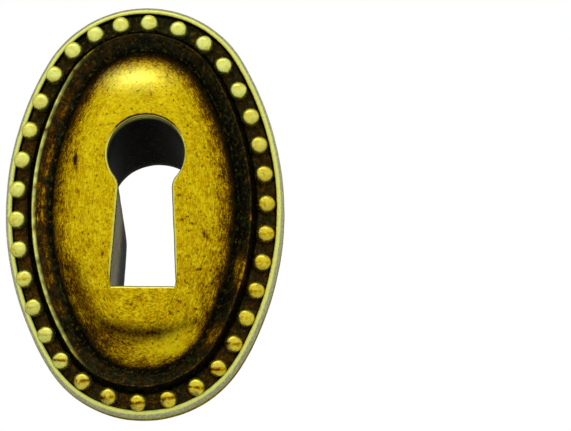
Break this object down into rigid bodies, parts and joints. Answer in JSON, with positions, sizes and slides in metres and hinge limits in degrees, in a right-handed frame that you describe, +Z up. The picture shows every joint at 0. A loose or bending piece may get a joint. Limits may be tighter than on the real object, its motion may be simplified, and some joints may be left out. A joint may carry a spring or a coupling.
{
  "type": "keyhole escutcheon",
  "caption": "Oval keyhole escutcheon with a beaded rim, a raised cushion-shaped middle and a fluted barrel that presses into a drilled hole; the key slot runs straight through.",
  "frame": {"origin": "middle of the rosette's flat back face, where it meets the drawer front", "axes": "+Z up, towards the round end of the keyhole; -Y the way the rosette faces; +Y along the barrel, into the wood"},
  "size_m": [0.0256, 0.0195, 0.0386],
  "materials": {
    "antique_brass": "blackened brass, rubbed back to bright gold on the raised middle, the beads, the rim and the ribs"
  },
  "bodies": {
    "root": {"escutcheon": "antique_brass"}
  },
  "joints": []
}
